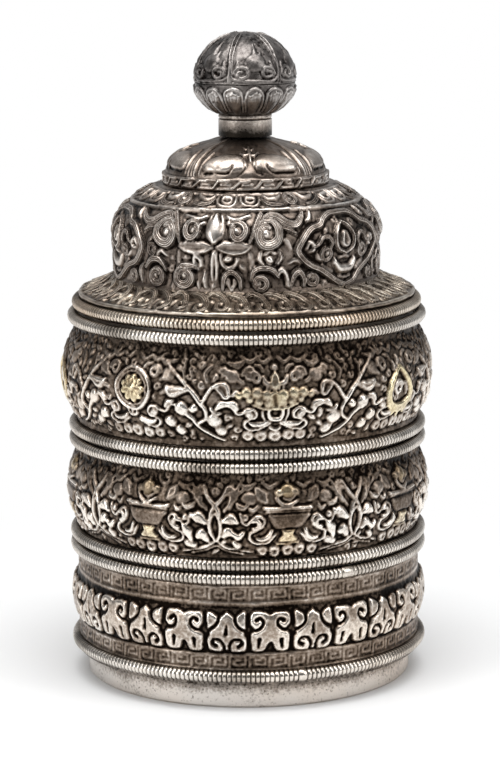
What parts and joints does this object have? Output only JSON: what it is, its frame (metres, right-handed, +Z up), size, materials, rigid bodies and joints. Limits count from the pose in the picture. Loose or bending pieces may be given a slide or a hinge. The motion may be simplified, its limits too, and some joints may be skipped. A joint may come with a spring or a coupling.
{
  "type": "stacking box",
  "caption": "Round tiered box of chased sheet silver: a footed base box, stacked trays on spigots, and a domed lid with a crown and a bulb finial.",
  "frame": {"origin": "centre of the foot, on the surface that the box stands on", "axes": "+Z up along the box's axis; +X to the right and +Y away from the viewer of the picture"},
  "size_m": [0.1038, 0.1038, 0.1795],
  "materials": {
    "plain_silver": "plain sheet silver with a worn satin polish, fine pits and scratches",
    "milled_wire": "bright milled silver wire, dark between its ribs",
    "chased_silver": "chased sheet silver, oxidised dark in the ground, worn bright on the raised work, with traces of gilding",
    "lid_silver": "chased sheet silver with a dark grey tarnish, bright only on the raised edges"
  },
  "bodies": {
    "base_box": {"foot_band": "plain_silver", "bottom_plate": "plain_silver", "base_lower_ring": "milled_wire", "base_wall": "chased_silver", "base_upper_ring": "milled_wire", "base_liner": "plain_silver"},
    "middle_tray": {"middle_lower_ring": "milled_wire", "middle_floor": "plain_silver", "middle_wall": "chased_silver", "middle_upper_ring": "milled_wire", "middle_liner": "plain_silver"},
    "upper_tray": {"upper_lower_ring": "milled_wire", "upper_floor": "plain_silver", "upper_wall": "chased_silver", "upper_upper_ring": "milled_wire", "upper_liner": "plain_silver"},
    "lid": {"lid_ring": "milled_wire", "lid_socket": "plain_silver", "lid_drum": "lid_silver", "lid_crown": "lid_silver", "finial_collar": "plain_silver", "finial_bead": "milled_wire", "finial_bowl": "lid_silver", "finial_cap": "lid_silver"}
  },
  "joints": [
    {"name": "middle_lift", "type": "slide", "parent": "base_box", "child": "middle_tray", "axis": [0, 0, 1], "range_m": [0, 0.06]},
    {"name": "upper_lift", "type": "slide", "parent": "middle_tray", "child": "upper_tray", "axis": [0, 0, 1], "range_m": [0, 0.06]},
    {"name": "lid_lift", "type": "slide", "parent": "upper_tray", "child": "lid", "axis": [0, 0, 1], "range_m": [0, 0.06]}
  ]
}
